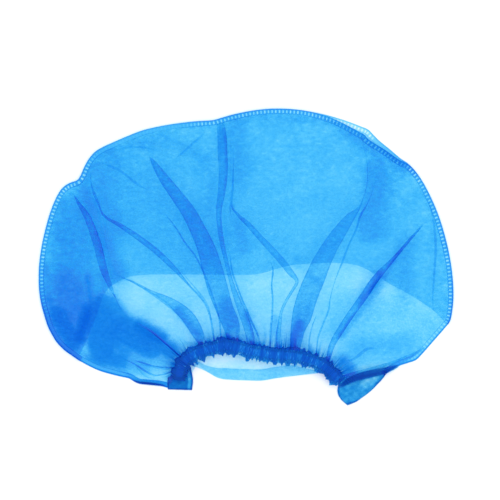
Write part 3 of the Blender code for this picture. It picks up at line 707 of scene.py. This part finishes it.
def cloth_finish(
    name, cloudiness=1.0, fibre=0.9, bond_points=0.15, thin=(0.08, 0.26, 0.55), middle=(0.13, 0.18, 0.60),
    thick=(0.005, 0.10, 0.45), scatters=None, roughness=0.72,
):
    """Makes a see-through cloth finish, as deep as the plies that each place stands for.

    The tint is all on the side where light comes in, so the far side of a wall is clear."""
    made = bpy.data.materials.new(name)
    made.use_nodes = True
    tree = made.node_tree
    tree.nodes.clear()
    plies = wire(tree, "ShaderNodeAttribute", {"attribute_name": "plies"}).outputs["Fac"]
    cloth = wire(tree, "ShaderNodeGroup", {"node_tree": spunbond_group()}, Plies=plies)
    cloth.inputs["Cloudiness"].default_value = cloudiness
    cloth.inputs["Fibre"].default_value = fibre
    cloth.inputs["Bond points"].default_value = bond_points
    density = cloth.outputs["Density"]
    clear = tinted_light(tree, density)
    scatters = bpy.context.scene.cap_colours.one_ply_scatters if scatters is None else scatters
    blocked = math_step(tree, "SUBTRACT", 1.0, math_step(tree, "POWER", 1.0 - scatters, density))
    body = cloth_body(tree, cloth, thin, middle, thick, roughness)
    front = wire(tree, "ShaderNodeMixShader", n0=blocked, n1=clear, n2=body).outputs[0]
    far_side = tree.nodes.new("ShaderNodeNewGeometry").outputs["Backfacing"]
    open_side = wire(tree, "ShaderNodeBsdfTransparent", Color=(1.0, 1.0, 1.0, 1.0)).outputs[0]
    mixed = wire(tree, "ShaderNodeMixShader", n0=far_side, n1=front, n2=open_side).outputs[0]
    wire(tree, "ShaderNodeOutputMaterial", Surface=mixed)
    made.diffuse_color = (*thin, 1.0)
    return made


def finish_of(name, **settings):
    """Returns a finish, made the first time it is asked for."""
    return bpy.data.materials.get(name) or cloth_finish(name, **settings)


def elastic_finish():
    """Makes the finish of the ribbed elastic: pale cords, darker between them where the ribs sink."""
    made = bpy.data.materials.new("Ribbed elastic")
    made.use_nodes = True
    tree = made.node_tree
    shader = tree.nodes["Principled BSDF"]
    flat = wire(tree, "ShaderNodeUVMap", {"uv_map": "Cloth"}).outputs[0]
    across = wire(tree, "ShaderNodeSeparateXYZ", n0=flat).outputs["Y"]
    ribs = math_step(tree, "SINE", math_step(tree, "MULTIPLY", across, CORD_RATE))
    share = wire(tree, "ShaderNodeMapRange", Value=ribs, From_Min=-1.0, From_Max=1.0).outputs[0]
    ramp = wire(tree, "ShaderNodeValToRGB", Fac=share)
    ramp.color_ramp.elements[0].color = (0.10, 0.35, 0.80, 1.0)
    ramp.color_ramp.elements[1].color = (0.25, 0.55, 0.90, 1.0)
    tree.links.new(ramp.outputs["Color"], shader.inputs["Base Color"])
    relief = wire(tree, "ShaderNodeBump", Height=ribs, Strength=0.5, Distance=0.0002)
    tree.links.new(relief.outputs[0], shader.inputs["Normal"])
    shader.inputs["Roughness"].default_value = 0.7
    return made


# Pieces

def lay_lower_panel(cloth):
    """The panel on the table: a fan of columns from the front edge out to the arc."""
    columns, rows = 240, 64
    share = np.linspace(0, 1, columns)
    outer = RIM.at(share, PANEL_INSET)
    start, end = np.array(LEFT_TAB_BACK) / 1000, np.array(RIGHT_TAB_BACK) / 1000
    front = np.vstack((start, FRONT.at(np.linspace(0, 1, 60)), end))
    walked = np.concatenate(([0.0], np.cumsum(np.linalg.norm(np.diff(front, axis=0), axis=1))))
    inner = np.column_stack([np.interp(share * walked[-1], walked, axis) for axis in front.T])
    depth = np.linspace(0, 1, rows)[None, :, None]
    plan = inner[:, None] + (outer - inner)[:, None] * depth
    x, y = plan[..., 0], plan[..., 1]
    level = 0.0005 + 0.00012 * (1 + ripple(x, y, 0.045, 3))
    plies = 1.0 + 0.3 * ripple(x, y, 0.03, 5) + bunching(x, y, LOWER_BUNCHING_AND_PAINTED_LIGHT)
    places = np.dstack((plan, level))
    return sew("lower_panel_cloth", places, plies, cloth)


def gusset_places(columns, rows):
    """Returns the grid of the folded gusset: upper leaf in to the fold, the fold, lower leaf back out."""
    share = np.linspace(0.012, 0.988, columns)
    on_rim = LEFT_POINT + (RIGHT_POINT - LEFT_POINT) * share
    fold = GUSSET.at(share)
    upper = RIM.at(on_rim, slip(on_rim) + PANEL_INSET)
    lower = RIM.at(on_rim, PANEL_INSET)
    width = np.linalg.norm(fold - lower, axis=1)
    puff = np.minimum(1.0, width / WIDE_GUSSET)[:, None]
    depth = np.linspace(0, 1, rows)
    rise = eased(depth)[None]
    leaf_up = upper[:, None] + (fold - upper)[:, None] * depth[None, :, None]
    leaf_low = (lower[:, None] + (fold - lower)[:, None] * depth[None, :, None])[:, ::-1]
    level_up = UPPER_LEAF_LEVEL + (GUSSET_RISE + GUSSET_SPREAD) * puff * rise
    level_low = (LOWER_LEAF_LEVEL + GUSSET_RISE * puff * rise)[:, ::-1]
    out = (fold - lower) / width[:, None]
    reach = (UPPER_LEAF_LEVEL - LOWER_LEAF_LEVEL + GUSSET_SPREAD * puff) / 2
    turn = np.linspace(0, np.pi, 7)[1:-1]
    nose = fold[:, None] + out[:, None] * (0.6 * reach * np.sin(turn))[..., None]
    middle = (level_up[:, -1:] + level_low[:, :1]) / 2
    nose_level = middle + (level_up[:, -1:] - level_low[:, :1]) / 2 * np.cos(turn)
    plan = np.concatenate((leaf_up, nose, leaf_low), axis=1)
    level = np.concatenate((level_up, nose_level, level_low), axis=1)
    return np.dstack((plan, level))


def fold_gusset(cloth):
    """The crescent of cloth folded in between the panels, whose fold shows through as the straight step."""
    rows = 40
    places = gusset_places(220, rows)
    x, y = places[..., 0], places[..., 1]
    places[..., 2] += 0.0006 * ripple(x, y, 0.05, 11) * np.minimum(1.0, np.linspace(0, 8, places.shape[1]))
    plies = 1.0 + 0.12 * ripple(x, y, 0.04, 12) + bunching(x, y, GUSSET_BUNCHED) / 2
    plies[:, rows - 2 : rows + 7] += 0.25
    return sew("gusset_cloth", places, plies, cloth)


def fold_controls(levels, stack):
    """Returns the upper panel's columns along the folds. Foot and tip are shares of the casing and the rim.

    A pleat gives two columns that have changed places, so the cloth between them runs back under itself."""
    controls = []
    for _, lift, knots in FOLD_LINES:
        line = PlanLine(knots)
        track = line.at(levels)
        right = line.right_at(levels)
        half = track[:, 2]
        tucked = stack * eased(half / 0.0015)
        sides = (1, -1) if max(abs(half)) > 1e-6 else (0,)
        for side in sides:
            plan = track[:, :2] + side * half[:, None] * right
            foot = CASING.share_near(plan[0] * 1000)
            tip = RIM.share_near(plan[-1] * 1000)
            controls.append(Fold(plan, side * tucked, lift, foot, tip, half))
    return controls


def hang_between(controls):
    """Returns all columns of the upper panel, those along the folds and those between them."""
    columns = []
    for this, after in zip(controls, controls[1:]):
        paired = this.half is after.half
        for way in PLEAT_WAYS if paired else CLOTH_WAYS:
            nearer = this if way < 0.5 else after
            plan = this.plan * (1 - way) + after.plan * way
            stack = this.stack * (1 - way) + after.stack * way
            foot = this.foot * (1 - way) + after.foot * way
            tip = this.tip * (1 - way) + after.tip * way
            valley = 0.3 * min(this.lift, after.lift)
            lift = nearer.lift if paired else valley + (nearer.lift - valley) * abs(2 * way - 1) ** 2
            half = np.maximum(nearer.half, 0)
            near = min(way, 1 - way)
            at_edge = 1.0 if near == 0 else 0.5 if near < 0.13 and paired else 0.0
            inside = 0.3 if paired else 0.0
            crease = at_edge * eased(half / 0.0006) + inside * eased(half / 0.002)
            columns.append(Column(plan, stack, lift, foot, tip, crease))
    last = controls[-1]
    columns.append(Column(last.plan, last.stack, last.lift, last.foot, last.tip, np.zeros(len(last.plan))))
    return columns


def reach_edges(column, levels):
    """Returns the plan places of a column, drawn out so that it starts on the casing and ends on the rim."""
    start = CASING.at(column.foot, -CASING_BACK)[0]
    end = RIM.at(column.tip, float(slip(column.tip)) + PANEL_INSET)[0]
    to_start, to_end = start - column.plan[0], end - column.plan[-1]
    return column.plan + to_start * ((1 - levels) ** 5)[:, None] + to_end * (levels**4)[:, None]


def column_height(column, levels, run):
    """Returns the heights of a column: from casing to rim, over the crown, and up on the folds."""
    length_share = min(1.0, run / LONG_FOLD)
    foot_level = casing_level(column.foot)
    height = foot_level + (float(panel_edge_level(column.tip)) - foot_level) * levels
    height = height + 4 * CROWN_RISE * length_share * levels * (1 - levels)
    fold = FOLD_RISE * column.lift * (0.4 + 0.6 * eased(levels / 0.3)) * (1 - levels**3) * length_share
    return height + fold


def gather_upper_panel(cloth):
    """The panel on top, gathered along the casing and pleated from there to the arc."""
    settings = bpy.context.scene.cap_cloth
    levels = np.linspace(0, 1, settings.panel_rows) ** 1.08
    columns = hang_between(fold_controls(levels, settings.pleat_stack))
    places = np.zeros((len(columns), len(levels), 3))
    plies = np.ones((len(columns), len(levels)))
    rng = np.random.default_rng(41)
    streak = rng.normal(size=len(columns))
    fine = rng.normal(size=len(columns))
    clear = eased(levels / 0.06) * eased((1 - levels) / 0.06)
    for i, column in enumerate(columns):
        plan = reach_edges(column, levels)
        run = np.linalg.norm(np.diff(plan, axis=0), axis=1).sum()
        near_foot = 1 - eased(levels * run / RUCK_REACH)
        ruck = (-1) ** i * RUCK_RISE * near_foot * (0.5 + 0.5 * abs(fine[i]))
        places[i, :, :2] = plan
        places[i, :, 2] = column_height(column, levels, run) + column.stack * clear + ruck
        gather = 1 - eased(levels * run / (GATHER_REACH[0] + GATHER_REACH[1] * abs(fine[i])))
        fray = 1 - eased(levels * run / (FRAY_REACH[0] + FRAY_REACH[1] * abs(streak[i])))
        plies[i] += PLEAT_EDGE_PLIES * column.crease * clear
        plies[i] += gather * (GATHER_PLIES[0] + GATHER_PLIES[1] * streak[i])
        plies[i] += fray * (FRAY_PLIES[0] + FRAY_PLIES[1] * fine[i])
    x, y = places[..., 0], places[..., 1]
    inner = np.minimum(1, np.minimum(levels, 1 - levels) / 0.08)[None]
    places[..., 2] += 0.0006 * ripple(x, y, 0.035, 21) * inner
    calm = eased((levels - 0.02) / 0.2)
    plies += 0.25 * ripple(x, y, 0.028, 22) + 0.12 * streak[:, None] * (1 - 0.7 * calm)
    plies += bunching(x, y, UPPER_BUNCHING_AND_PAINTED_SHADE)
    return sew("upper_panel_cloth", places, np.maximum(plies, 0.35), cloth)


def weld_seam(name, first, last, slipped, base, cloth, clarity):
    """A welded edge strip with its row of clear pressed bars and a dark cut edge."""
    settings = bpy.context.scene.cap_cloth
    along = np.arange(first * RIM.length, last * RIM.length, settings.seam_step)
    share = along / RIM.length
    rows = 9
    inward = np.linspace(0, SEAM_WIDTH, rows)
    out = slip(share) if slipped else np.zeros_like(share)
    wander = EDGE_WANDER * np.sin(along / 0.009) * np.sin(along / 0.0173 + 1)
    plan = np.stack([RIM.at(share, out + wander * eased(inset / 0.001) + inset) for inset in inward], axis=1)
    phase = np.abs(((along / settings.bar_pitch) % 1.0) - 0.5) * settings.bar_pitch
    bar = 1 - eased((phase - BAR_HALF_WIDTH) / 0.00034)
    jitter = np.random.default_rng(7).uniform(0.8, 1.0, int(RIM.length / settings.bar_pitch) + 2)
    bar = bar * jitter[(along / settings.bar_pitch).astype(int)] * read(clarity, share)
    across = eased((inward - BAR_SPAN[0]) / BAR_SOFTNESS) * eased((BAR_SPAN[1] - inward) / BAR_SOFTNESS)
    pressed = bar[:, None] * across[None]
    drawn = eased(slip(share) / 0.002)
    apart = UPPER_APART_PLIES if slipped else LOWER_APART_PLIES
    full = (read(WELD_PLIES, share) + apart * drawn)[:, None]
    cut = read(CUT_EDGE, share)[:, None]
    edge = 1 - eased((inward[None] - 0.0001 - 0.00018 * cut) / 0.0008)
    plies = full + cut * edge - (full - 0.3) * pressed
    # A thin strip may not sink under the cloth that it joins
    level = base + 0.0007 + 0.0003 * eased(inward / 0.002)[None] - BAR_DEPTH * pressed
    return sew(name, np.dstack((plan, level)), plies, cloth, thickness=0.0005)


def wavelet(along, pitch, seed):
    """Returns an uneven wave from -1 to 1 at lengths along the casing, with a new crest about every pitch."""
    knots = np.random.default_rng(seed).uniform(-1, 1, int(CASING.length / pitch) + 3)
    where = along / pitch
    step = where.astype(int)
    return knots[step] + (knots[step + 1] - knots[step]) * eased(where - step)


def ruffle_plies(share, angle):
    """Returns the casing's plies: streaks along its ruffles, a lighter front edge, grain and a few flecks."""
    along = share * CASING.length
    turned = (0.5 + 0.5 * np.sin(angle + 0.6))[None]
    lane = wavelet(along, 0.0022, 9)[:, None] * turned + wavelet(along, 0.0019, 12)[:, None] * (1 - turned)
    front_edge = eased((np.cos(angle) - 0.7) / 0.3)[None]
    dark = LEFT_END_PLIES * (1 - eased((share - 0.11) / 0.09))
    dark = dark + RIGHT_END_PLIES * eased((share - 0.80) / 0.12)
    plies = CASING_PLIES + dark[:, None] + RUFFLE_PLIES * lane
    plies = plies + 1.5 * wavelet(along, 0.006, 10)[:, None] - FRONT_EDGE_PLIES * front_edge
    rng = np.random.default_rng(19)
    plies = plies + GRAIN_PLIES * rng.normal(size=plies.shape)
    plies = np.where(rng.uniform(0, 1, plies.shape) > FLECK_LIMIT, FLECK_PLIES, plies)
    return np.maximum(plies, FLECK_PLIES)


def ruffle_casing(cloth):
    """The gathered channel along the mouth: close, uneven folds drawn up by the elastic inside."""
    settings = bpy.context.scene.cap_cloth
    share = np.linspace(0, 1, int(CASING.length / settings.ring_step))
    along = share * CASING.length
    angle = 2 * np.pi * np.arange(CASING_SIDES) / CASING_SIDES
    back = 0.86 + 0.12 * wavelet(along, 0.0045, 1) + 0.22 * np.maximum(wavelet(along, 0.0015, 2), -0.5)
    front = 0.86 + 0.14 * wavelet(along, 0.0040, 3) + 0.32 * np.maximum(wavelet(along, 0.0015, 4), -0.25)
    high = 1 + 0.14 * wavelet(along, 0.0033, 5) + 0.20 * wavelet(along, 0.0012, 6)
    ends = 0.75 + 0.25 * eased(np.minimum(share, 1 - share) / 0.04)
    out = np.sign(np.cos(angle)) * np.abs(np.cos(angle)) ** 0.8
    up = np.sign(np.sin(angle)) * np.abs(np.sin(angle)) ** 0.8
    half = np.where(out[None] > 0, front[:, None], back[:, None]) * CASING_HALF_WIDTH * ends[:, None]
    line = CASING.at(share)
    right = CASING.right_at(share)
    plan = line[:, None] + right[:, None] * (half * out[None])[..., None]
    lean = 0.0006 * wavelet(along, 0.0026, 8)[:, None] * np.abs(out)[None]
    forward = np.column_stack((-right[:, 1], right[:, 0]))
    plan = plan + forward[:, None] * lean[..., None]
    half_height = (CASING_HEIGHT - WALL) / 2 * high * ends
    level = casing_level(share)[:, None] + half_height[:, None] * up[None]
    return sew("casing_ruffles", np.dstack((plan, level)), ruffle_plies(share, angle), cloth, ring=True)


def thread_elastic(cloth):
    """The flat ribbed elastic inside the casing."""
    share = np.linspace(0.02, 0.98, 420)
    across = np.linspace(-TAPE_HALF_WIDTH, TAPE_HALF_WIDTH, 9)
    plan = np.stack([CASING.at(share, aside) for aside in across], axis=1)
    cords = 0.00012 * np.cos(across / TAPE_CORD_WIDTH * np.pi)[None]
    crimp = 0.0007 * np.sin(share * CASING.length / TAPE_CRIMP_PITCH * 2 * np.pi)[:, None]
    level = casing_level(share)[:, None] + cords + crimp
    return sew("elastic_tape", np.dstack((plan, level)), 2.0, cloth, thickness=0.0008)


def turn_hem(cloth):
    """The turned-in front edge of the lower panel, seen in the mouth."""
    share = np.linspace(0, 1, 200)
    width = HEM_WIDTH * (0.25 + 0.75 * eased(np.minimum(share, 1 - share) / 0.25))
    depth = np.linspace(0, 1, 14)
    plan = np.stack([FRONT.at(share, -width * far) for far in depth], axis=1)
    x, y = plan[..., 0], plan[..., 1]
    line = 1 - eased(np.minimum(depth, 1 - depth) / 0.13)
    plies = 1.7 + 0.8 * line[None] + 0.25 * ripple(x, y * 3, 0.03, 31)
    level = 0.0018 + 0.0002 * ripple(x, y, 0.02, 32)
    return sew("hem_fold", np.dstack((plan, level)), plies, cloth)


def lay_tab(name, outer, inner, cloth, full, light):
    """A flat end of the casing. Its cloth lies in several plies between two edges, with one lighter strip.

    The light strip is given by its middle, its half width and its length, each a share of the tab."""
    outer, inner = (PlanLine(edge).at(np.linspace(0, 1, 28)) for edge in (outer, inner))
    across = np.linspace(0, 1, 34)
    plan = outer[:, None] + (inner - outer)[:, None] * across[None, :, None]
    x, y = plan[..., 0], plan[..., 1]
    down = np.linspace(0, 1, 28)[:, None]
    middle, half, length = light
    strip = (1 - eased((np.abs(across - middle) - half) / 0.06))[None] * (1 - eased((down - length) / 0.15))
    folds = ripple(x, y, 0.006, 35)
    plies = full + 1.6 * folds + 4.0 * eased((down - 0.88) / 0.06) - 0.6 * (full - 2.0) * strip
    plies = plies + 4.0 * (1 - eased((np.minimum(across, 1 - across) - 0.02) / 0.04))[None]
    level = 0.0010 + 0.0002 * ripple(x, y, 0.01, 36)
    return sew(name, np.dstack((plan, level)), np.maximum(plies, 0.8), cloth, thickness=0.0012)


def press_crease(name, knots, plies, width, ground, cloth):
    """A short sharp crease: a narrow doubled run of cloth that lies on the panel below it."""
    line = PlanLine(knots)
    share = np.linspace(0, 1, max(12, int(line.length / 0.0012)))
    across = np.linspace(-0.5, 0.5, 7)
    taper = np.sin(np.pi * share) ** 0.5 * width / 1000 + 0.0002
    plan = np.stack([line.at(share, far * taper)[:, :2] for far in across], axis=1)
    level = np.empty(plan.shape[:2])
    for i, k in np.ndindex(level.shape):
        hit = ground.ray_cast(Vector((*plan[i, k], 0.1)), Vector((0, 0, -1)))[0]
        level[i, k] = hit.z if hit else TAB_THICKNESS
    crest = level.max(axis=1)
    crest = np.maximum(crest, np.convolve(np.pad(crest, 3, mode="edge"), np.ones(7) / 7, "valid"))
    level = np.repeat(crest[:, None] + 0.0002, len(across), axis=1)
    weight = (1 - eased((np.abs(across) * 2 - 0.6) / 0.4))[None] * np.sin(np.pi * share)[:, None] ** 0.4
    return sew(name, np.dstack((plan, level)), plies * weight + 0.02, cloth, thickness=0.0001)


# Stage

def table_finish():
    """Makes the matt white of the table, very slightly uneven: soft patches of painted shade."""
    made = bpy.data.materials.new("White table")
    made.use_nodes = True
    tree = made.node_tree
    place = tree.nodes.new("ShaderNodeTexCoord").outputs["Object"]
    # Broad soft noise darkens the table a little here and there: painted shade.
    painted_shade_noise = wire(tree, "ShaderNodeTexNoise", Vector=place, Scale=3.0).outputs["Fac"]
    shade = wire(tree, "ShaderNodeMapRange", Value=painted_shade_noise, To_Min=0.90, To_Max=0.93).outputs[0]
    white = wire(tree, "ShaderNodeCombineColor", n0=shade, n1=shade, n2=shade).outputs[0]
    shader = tree.nodes["Principled BSDF"]
    tree.links.new(white, shader.inputs["Base Color"])
    shader.inputs["Roughness"].default_value = 0.9
    shader.inputs["Specular IOR Level"].default_value = 0.1
    return made


def hang_softbox(power):
    """Hangs the large soft light over the table."""
    clear_choice()
    bpy.ops.object.light_add(type="AREA", location=LAMP_PLACE)
    lamp = bpy.context.active_object
    lamp.name = "overhead_softbox"
    lamp.data.shape = "RECTANGLE"
    lamp.data.size = LAMP_SIZE
    lamp.data.size_y = LAMP_SIZE
    lamp.data.energy = power


def light_room(strength):
    """Fills the room with even white light."""
    world = bpy.data.worlds.new("White room")
    world.use_nodes = True
    sky = world.node_tree.nodes["Background"]
    sky.inputs["Color"].default_value = (1.0, 1.0, 1.0, 1.0)
    sky.inputs["Strength"].default_value = strength
    bpy.context.scene.world = world


def mount_camera(height, lens):
    """Mounts the camera, which looks straight down."""
    clear_choice()
    bpy.ops.object.camera_add(location=(*CAMERA_PLACE, height), rotation=(0.0, 0.0, 0.0))
    camera = bpy.context.active_object
    camera.name = "overhead_camera"
    camera.data.lens = lens
    camera.data.sensor_width = 36.0
    camera.data.clip_start = 0.05
    bpy.context.scene.camera = camera


# Settings

class CapCloth(PropertyGroup):
    """Sizes of the cloth and of its seams, pleats and ruffles."""

    thickness: FloatProperty(
        name="Cloth thickness", description="Thickness of one ply of the cloth",
        default=0.0002, min=0.00005, max=0.001, subtype="DISTANCE", unit="LENGTH", precision=5,
    )
    panel_rows: IntProperty(
        name="Panel rows", description="Rows of faces from the casing to the edge of the upper panel",
        default=104, min=20, max=200,
    )
    pleat_stack: FloatProperty(
        name="Pleat stack", description="Height between the plies of a pleat",
        default=0.0009, min=0.0002, max=0.003, subtype="DISTANCE", unit="LENGTH", precision=5,
    )
    seam_step: FloatProperty(
        name="Seam step", description="Length of one face along the welded edge",
        default=0.0004, min=0.0002, max=0.002, subtype="DISTANCE", unit="LENGTH", precision=5,
    )
    bar_pitch: FloatProperty(
        name="Weld bar pitch", description="Distance between the pressed bars along the edge",
        default=0.003, min=0.001, max=0.01, subtype="DISTANCE", unit="LENGTH", precision=4,
    )
    ring_step: FloatProperty(
        name="Ruffle step", description="Length of one face along the ruffled casing",
        default=0.0003, min=0.0002, max=0.002, subtype="DISTANCE", unit="LENGTH", precision=5,
    )


class CapColours(PropertyGroup):
    """Colours of the see-through cloth."""

    one_ply_passes: FloatVectorProperty(
        name="Light through one ply",
        description="Share of red, green and blue light that one ply lets through",
        default=(0.714, 0.929, 0.998), min=0.01, max=1.0, size=3, subtype="COLOR",
    )
    one_ply_scatters: FloatProperty(
        name="Light scattered by one ply",
        description="Share of the light that one ply turns back or to the side",
        default=0.035, min=0.0, max=0.9, subtype="FACTOR",
    )


class CapStage(PropertyGroup):
    """The plain white table, its lights and the camera."""

    camera_height: FloatProperty(
        name="Camera height", description="Height of the camera over the table",
        default=2.223, min=0.5, max=10.0, subtype="DISTANCE", unit="LENGTH",
    )
    lens: FloatProperty(
        name="Focal length", description="Focal length of the camera in millimetres",
        default=200.0, min=20.0, max=400.0,
    )
    light_power: FloatProperty(
        name="Light power", description="Power of the large soft light overhead",
        default=31.0, min=1.0, max=1000.0, unit="POWER",
    )
    sky: FloatProperty(
        name="Room light", description="Strength of the even white light of the room",
        default=0.62, min=0.0, max=5.0,
    )


# Steps

class CAP_OT_lower_panel(Operator):
    """Lays the lower panel flat on the table"""

    bl_idname = "cap.lower_panel"
    bl_label = "Lower panel"

    def execute(self, context):
        piece = lay_lower_panel(finish_of("Panel cloth"))
        fit(piece, "panel_cloth", "lower_panel")
        return {"FINISHED"}


class CAP_OT_gusset(Operator):
    """Folds the gusset in between the two panels"""

    bl_idname = "cap.gusset"
    bl_label = "Folded gusset"

    def execute(self, context):
        piece = fold_gusset(finish_of("Gusset cloth", cloudiness=2.4))
        fit(piece, "panel_cloth", "crown_gusset")
        return {"FINISHED"}


class CAP_OT_upper_panel(Operator):
    """Gathers and pleats the upper panel and presses its small creases"""

    bl_idname = "cap.upper_panel"
    bl_label = "Pleated upper panel"

    def execute(self, context):
        piece = gather_upper_panel(finish_of("Pleated cloth", cloudiness=2.4, fibre=1.3))
        fit(piece, "gathered_cloth", "upper_panel")
        context.view_layer.update()
        ground = BVHTree.FromObject(piece, context.evaluated_depsgraph_get())
        pressed = finish_of("Pressed crease", cloudiness=0.6)
        rolled = finish_of(
            "Rolled edge cloth", cloudiness=0.8, middle=(0.004, 0.07, 0.40), thick=(0.002, 0.03, 0.28),
            scatters=0.12,
        )
        for name, plies, width, knots in CREASES:
            finish = rolled if name.startswith("rolled") else pressed
            fit(press_crease(name, knots, plies, width, ground, finish), "gathered_cloth")
        return {"FINISHED"}


class CAP_OT_seams(Operator):
    """Welds the edges of the panels and the gusset"""

    bl_idname = "cap.seams"
    bl_label = "Welded edges"

    def execute(self, context):
        weld = finish_of("Welded edge", cloudiness=0.3, fibre=0.2, bond_points=0.0, roughness=0.45)
        lower = weld_seam("lower_weld", 0.0, 1.0, False, 0.0, weld, LOWER_BARS)
        fit(lower, "welded_cloth", "lower_seam")
        upper = weld_seam("upper_weld", LEFT_POINT, RIGHT_POINT, True, UPPER_SEAM_BASE, weld, UPPER_BARS)
        fit(upper, "welded_cloth", "upper_seam")
        return {"FINISHED"}


class CAP_OT_mouth(Operator):
    """Ruffles the casing over its elastic and turns in the front hem"""

    bl_idname = "cap.mouth"
    bl_label = "Casing, elastic and hem"

    def execute(self, context):
        gathered = finish_of(
            "Gathered casing cloth", cloudiness=1.2, fibre=1.6, thin=(0.03, 0.25, 0.70),
            middle=(0.01, 0.13, 0.52), thick=(0.003, 0.07, 0.38), scatters=0.06,
        )
        fit(ruffle_casing(gathered), "gathered_cloth", "elastic_casing")
        fit(thread_elastic(elastic_finish()), "elastic", "elastic_band")
        fit(turn_hem(finish_of("Panel cloth")), "hem_cloth", "front_hem")
        return {"FINISHED"}


class CAP_OT_tabs(Operator):
    """Lays the two flat ends of the casing"""

    bl_idname = "cap.tabs"
    bl_label = "Casing ends"

    def execute(self, context):
        layered = finish_of(
            "Layered tab cloth", cloudiness=1.4, fibre=1.2, middle=(0.02, 0.12, 0.42),
            thick=(0.005, 0.07, 0.32), scatters=0.06,
        )
        left = lay_tab("left_end_tab", LEFT_TAB_OUTER, LEFT_TAB_INNER, layered, 8.0, (0.86, 0.03, 1.0))
        fit(left, "hem_cloth", "left_tab")
        right = lay_tab("right_end_tab", RIGHT_TAB_OUTER, RIGHT_TAB_INNER, layered, 5.4, (0.70, 0.16, 0.35))
        fit(right, "hem_cloth", "right_tab")
        return {"FINISHED"}


class CAP_OT_measure(Operator):
    bl_idname = "cap.measure"
    bl_label = "Cut sizes"

    def execute(self, context):
        return {"FINISHED"}


class CAP_OT_stage(Operator):
    """Sets the white table, the soft lights and the camera straight above"""

    bl_idname = "cap.stage"
    bl_label = "Table, lights and camera"

    def execute(self, context):
        settings = context.scene.cap_stage
        clear_choice()
        bpy.ops.mesh.primitive_plane_add(size=TABLE_SIZE, location=(0.0, 0.0, 0.0))
        floor = context.active_object
        floor.name = "white_table"
        floor.data.materials.append(table_finish())
        hang_softbox(settings.light_power)
        light_room(settings.sky)
        mount_camera(settings.camera_height, settings.lens)
        context.scene.view_settings.view_transform = "Standard"
        context.scene.cycles.transparent_max_bounces = 96
        return {"FINISHED"}


STEPS = (
    CAP_OT_lower_panel, CAP_OT_gusset, CAP_OT_upper_panel, CAP_OT_seams, CAP_OT_mouth, CAP_OT_tabs,
    CAP_OT_measure, CAP_OT_stage,
)


class CAP_PT_panel(Panel):
    """Lists the cap's settings and its steps"""

    bl_idname = "CAP_PT_panel"
    bl_label = "Flat elasticated cap"
    bl_space_type = "VIEW_3D"
    bl_region_type = "UI"
    bl_category = "Cap"

    def draw(self, context):
        for settings in (context.scene.cap_cloth, context.scene.cap_colours, context.scene.cap_stage):
            box = self.layout.box()
            for name in settings.__annotations__:
                box.prop(settings, name)
        for step in STEPS:
            self.layout.operator(step.bl_idname)


CLASSES = (CapCloth, CapColours, CapStage, *STEPS, CAP_PT_panel)


def register():
    for kind in CLASSES:
        bpy.utils.register_class(kind)
    bpy.types.Scene.cap_cloth = PointerProperty(type=CapCloth)
    bpy.types.Scene.cap_colours = PointerProperty(type=CapColours)
    bpy.types.Scene.cap_stage = PointerProperty(type=CapStage)


def unregister():
    for name in ("cap_cloth", "cap_colours", "cap_stage"):
        delattr(bpy.types.Scene, name)
    for kind in reversed(CLASSES):
        bpy.utils.unregister_class(kind)


def main():
    register()
    for step in STEPS:
        family, name = step.bl_idname.split(".")
        getattr(getattr(bpy.ops, family), name)()


if __name__ == "__main__":
    main()
